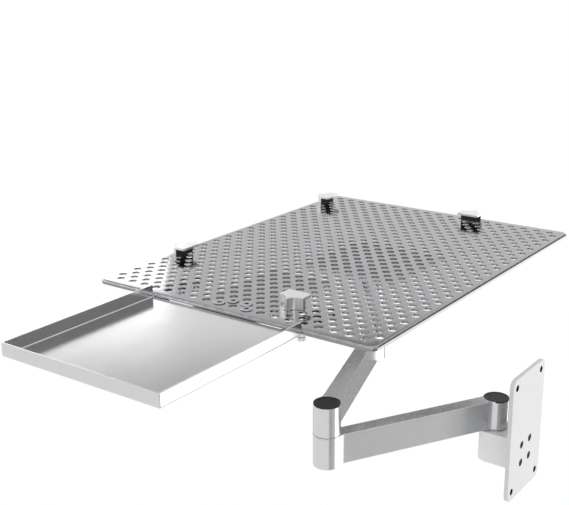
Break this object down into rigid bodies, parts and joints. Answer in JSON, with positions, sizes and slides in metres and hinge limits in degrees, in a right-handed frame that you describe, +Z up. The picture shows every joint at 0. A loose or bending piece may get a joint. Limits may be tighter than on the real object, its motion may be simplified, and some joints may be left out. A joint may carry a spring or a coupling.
{
  "type": "wall-mounted laptop stand",
  "caption": "Perforated laptop tray with clamps and a pull-out mouse tray on a two-link swivel arm from a wall plate.",
  "frame": {"origin": "centre of the wall plate's back face, which lies on the wall", "axes": "+Y into the wall, +Z up, +X to the user's right, towards the mouse tray"},
  "size_m": [0.6021, 0.3738, 0.2149],
  "materials": {
    "satin_aluminium": "satin",
    "pale_painted_steel": "satin",
    "grey_perforated_steel": "satin",
    "bright_steel": "polished",
    "black_steel": "matte",
    "black_plastic": "matte",
    "black_rubber": "matte",
    "bronze": "satin"
  },
  "bodies": {
    "wall_side": {"wall_plate": "pale_painted_steel", "hinge_bracket": "pale_painted_steel", "bracket_bolt_1": "black_steel", "bracket_bolt_2": "black_steel", "bracket_bolt_3": "black_steel", "bracket_bolt_4": "black_steel", "wall_pivot_pin": "bright_steel", "wall_thrust_washer": "bright_steel", "wall_pivot_nut": "bright_steel"},
    "lower_link": {"lower_arm": "satin_aluminium", "wall_hub_bush": "bronze", "wall_hub_cap": "black_plastic", "elbow_pin": "bright_steel", "elbow_thrust_washer": "bright_steel", "elbow_nut": "bright_steel"},
    "upper_link": {"upper_arm": "satin_aluminium", "elbow_hub_bush": "bronze", "elbow_hub_cap": "black_plastic", "head_hub_bush": "bronze"},
    "head": {"head_post": "satin_aluminium", "head_thrust_washer": "bright_steel", "head_retaining_screw": "black_steel"},
    "laptop_tray": {"tilt_yoke": "pale_painted_steel", "tilt_bolt": "black_steel", "tilt_nut": "bright_steel", "tilt_friction_disc_left": "black_plastic", "tilt_friction_disc_right": "black_plastic", "tray_mount_plate": "pale_painted_steel", "mount_screw_1": "black_steel", "mount_screw_2": "black_steel", "mount_screw_3": "black_steel", "mount_screw_4": "black_steel", "laptop_deck": "grey_perforated_steel", "slide_channel": "pale_painted_steel", "tray_rivet_1": "bright_steel", "tray_rivet_2": "bright_steel", "tray_rivet_3": "bright_steel", "tray_rivet_4": "bright_steel", "guide_clip_front": "pale_painted_steel", "guide_clip_back": "pale_painted_steel"},
    "mouse_tray": {"mouse_tray": "satin_aluminium"},
    "lock_screw": {"lock_screw": "bright_steel"},
    "clamp_right": {"clamp_right_hook": "satin_aluminium", "clamp_right_pad": "black_rubber", "clamp_right_nut": "black_plastic"},
    "clamp_front_right": {"clamp_front_right_hook": "satin_aluminium", "clamp_front_right_pad": "black_rubber", "clamp_front_right_nut": "black_plastic"},
    "clamp_front_left": {"clamp_front_left_hook": "satin_aluminium", "clamp_front_left_pad": "black_rubber", "clamp_front_left_nut": "black_plastic"},
    "clamp_left": {"clamp_left_hook": "satin_aluminium", "clamp_left_pad": "black_rubber", "clamp_left_nut": "black_plastic"}
  },
  "joints": [
    {"name": "wall_swivel", "type": "hinge", "parent": "wall_side", "child": "lower_link", "pos_m": [0, -0.0332, 0], "axis": [0, 0, 1], "range_deg": [-152, 33]},
    {"name": "elbow_swivel", "type": "hinge", "parent": "lower_link", "child": "upper_link", "pos_m": [0.16204, -0.12573, 0.03], "axis": [0, 0, 1], "range_deg": [-45, 195]},
    {"name": "head_swivel", "type": "hinge", "parent": "upper_link", "child": "head", "pos_m": [-0.0136, -0.18382, 0.06], "axis": [0, 0, 1], "range_deg": [-175, 175]},
    {"name": "head_tilt", "type": "hinge", "parent": "head", "child": "laptop_tray", "pos_m": [-0.0136, -0.18382, 0.117], "axis": [1, 0, 0], "range_deg": [-15, 15]},
    {"name": "mouse_tray_slide", "type": "slide", "parent": "laptop_tray", "child": "mouse_tray", "axis": [1, 0, 0], "range_m": [0, 0.038]},
    {"name": "lock_screw_turn", "type": "hinge", "parent": "laptop_tray", "child": "lock_screw", "pos_m": [0.1884, -0.13497, 0.125], "axis": [0, 0, 1], "range_deg": [-180, 180]},
    {"name": "clamp_right_swivel", "type": "hinge", "parent": "laptop_tray", "child": "clamp_right", "pos_m": [0.16354, -0.16722, 0.14], "axis": [0, 0, 1], "range_deg": [-90, 90]},
    {"name": "clamp_front_right_swivel", "type": "hinge", "parent": "laptop_tray", "child": "clamp_front_right", "pos_m": [0.0906, -0.3641, 0.14], "axis": [0, 0, 1], "range_deg": [-90, 90]},
    {"name": "clamp_front_left_swivel", "type": "hinge", "parent": "laptop_tray", "child": "clamp_front_left", "pos_m": [-0.18032, -0.3641, 0.14], "axis": [0, 0, 1], "range_deg": [-90, 90]},
    {"name": "clamp_left_swivel", "type": "hinge", "parent": "laptop_tray", "child": "clamp_left", "pos_m": [-0.21158, -0.16722, 0.14], "axis": [0, 0, 1], "range_deg": [-90, 90]}
  ]
}
